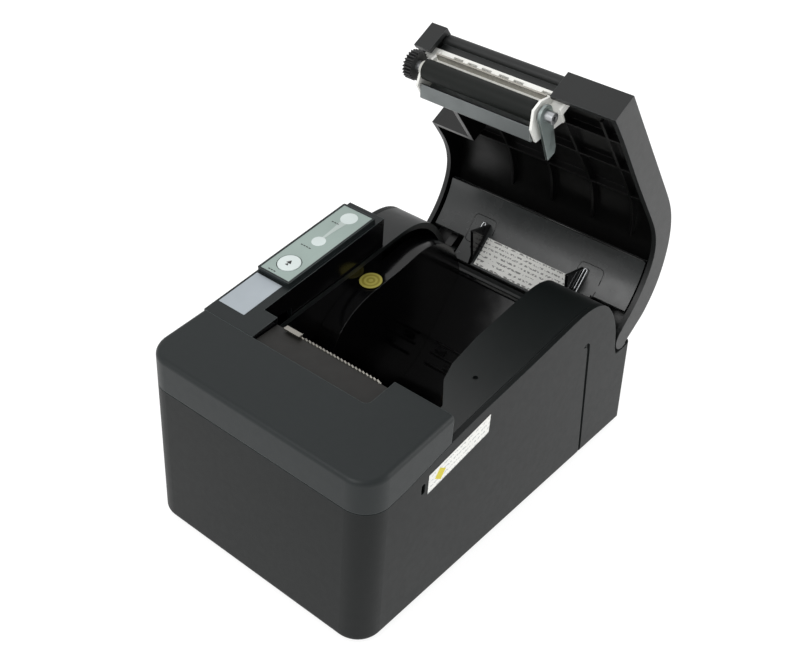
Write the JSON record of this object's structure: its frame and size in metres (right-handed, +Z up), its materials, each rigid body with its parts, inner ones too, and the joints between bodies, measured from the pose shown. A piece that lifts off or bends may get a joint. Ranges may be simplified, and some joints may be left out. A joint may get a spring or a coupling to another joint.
{
  "type": "receipt printer",
  "caption": "Small desktop receipt printer with a clamshell cover standing open over the paper roll bin, print roller on the cover, control panel and cutter in front.",
  "frame": {"origin": "on the supporting surface under the rubber feet, at the middle of the part's footprint with the cover open", "axes": "+Z up, +Y towards the back wall with the sockets and the cover hinge, +X towards the right-hand side seen from the front"},
  "size_m": [0.1251, 0.219, 0.2005],
  "materials": {
    "dark_plastic": "fine matt grain, slightly green dark grey",
    "gloss_black": "smooth black moulding",
    "grey_plastic": "smooth dark grey",
    "overlay": "satin printed film",
    "lens": "clear pale light window",
    "silver": "brushed silver sticker",
    "white_sheet": "white sticker",
    "gold": "round gold sticker",
    "white_gear": "moulded white plastic",
    "steel": "zinc plated sheet",
    "pale_metal": "pale coated sheet",
    "spring_steel": "spring wire",
    "aluminium": "plain aluminium",
    "ceramic": "glazed head plate",
    "rubber": "smooth platen rubber",
    "board": "green circuit board",
    "chips": "moulded black",
    "black_motor": "black motor can"
  },
  "bodies": {
    "case": {"board_parts": "chips", "button_spring": "spring_steel", "case_screws": "steel", "control_strip": "dark_plastic", "cutter_cover": "dark_plastic", "cutter_frame": "steel", "cutter_motor": "black_motor", "dc_socket": "chips", "drawer_socket": "chips", "front_bezel": "dark_plastic", "head_springs": "spring_steel", "heat_sink": "aluminium", "hinge_pins": "steel", "hinge_springs": "spring_steel", "led_windows": "lens", "left_cheek": "gloss_black", "lower_case": "dark_plastic", "main_board": "board", "mech_frame": "steel", "near_end_sensor": "chips", "panel_frame": "dark_plastic", "panel_overlay": "overlay", "paper_guide": "gloss_black", "print_head": "ceramic", "right_cheek": "gloss_black", "roll_bin": "gloss_black", "round_seal": "gold", "rubber_feet": "rubber", "side_label": "white_sheet", "silver_label": "silver", "step_motor": "black_motor", "switch_housing": "chips", "tear_edge": "steel", "top_deck": "gloss_black", "usb_socket": "steel"},
    "platen": {"platen_shaft": "steel", "platen_roller": "rubber", "platen_gear": "gloss_black"},
    "lever": {"release_lever": "aluminium"},
    "button": {"feed_button": "lens"},
    "rocker": {"power_switch": "chips"},
    "blade": {"cutter_blade": "steel"},
    "cutter_drive": {"cutter_pinion": "white_gear"},
    "idler": {"idler_gear": "white_gear"},
    "motor_rotor": {"motor_pinion": "white_gear"},
    "cover": {"cover_shell": "dark_plastic", "inner_panel": "grey_plastic", "roll_flanges": "gloss_black", "flange_springs": "spring_steel", "inner_label": "white_sheet", "platen_bracket": "pale_metal", "bracket_screws": "steel", "guide_plate": "steel", "fixed_blade": "steel", "platen_bushings": "white_gear"}
  },
  "joints": [
    {"name": "cover_hinge", "type": "hinge", "parent": "case", "child": "cover", "pos_m": [0, 0.08103, 0.062], "axis": [1, 0, 0], "range_deg": [0, 60]},
    {"name": "platen_spin", "type": "hinge", "parent": "cover", "child": "platen", "pos_m": [0, 0.02593, 0.18723], "axis": [1, 0, 0], "continuous": true},
    {"name": "lever_pull", "type": "hinge", "parent": "cover", "child": "lever", "pos_m": [0.0333, 0.02593, 0.18723], "axis": [1, 0, 0], "range_deg": [0, 12], "stiffness_Nm_per_rad": 0.02},
    {"name": "button_press", "type": "slide", "parent": "case", "child": "button", "axis": [0, 0.1575, -0.9875], "range_m": [0, 0.0008], "stiffness_N_per_m": 400},
    {"name": "switch_rock", "type": "hinge", "parent": "case", "child": "rocker", "pos_m": [-0.046, 0.09163, 0.0145], "axis": [0, 0, 1], "range_deg": [-16, 0]},
    {"name": "blade_slide", "type": "slide", "parent": "case", "child": "blade", "axis": [0, 1, 0], "range_m": [0, 0.0055]},
    {"name": "cutter_turn", "type": "hinge", "parent": "case", "child": "cutter_drive", "pos_m": [0.03852, -0.07947, 0.0855], "axis": [0, 0, 1], "range_deg": [-57, 0]},
    {"name": "idler_spin", "type": "hinge", "parent": "case", "child": "idler", "pos_m": [-0.0345, -0.06172, 0.06521], "axis": [1, 0, 0], "continuous": true},
    {"name": "motor_spin", "type": "hinge", "parent": "case", "child": "motor_rotor", "pos_m": [-0.0335, -0.07177, 0.06073], "axis": [1, 0, 0], "continuous": true}
  ],
  "couplings": [
    {"joint": "motor_spin", "follows": "idler_spin", "ratio": -2.1429},
    {"joint": "cutter_turn", "follows": "blade_slide", "rad_per_m": -178.57}
  ]
}
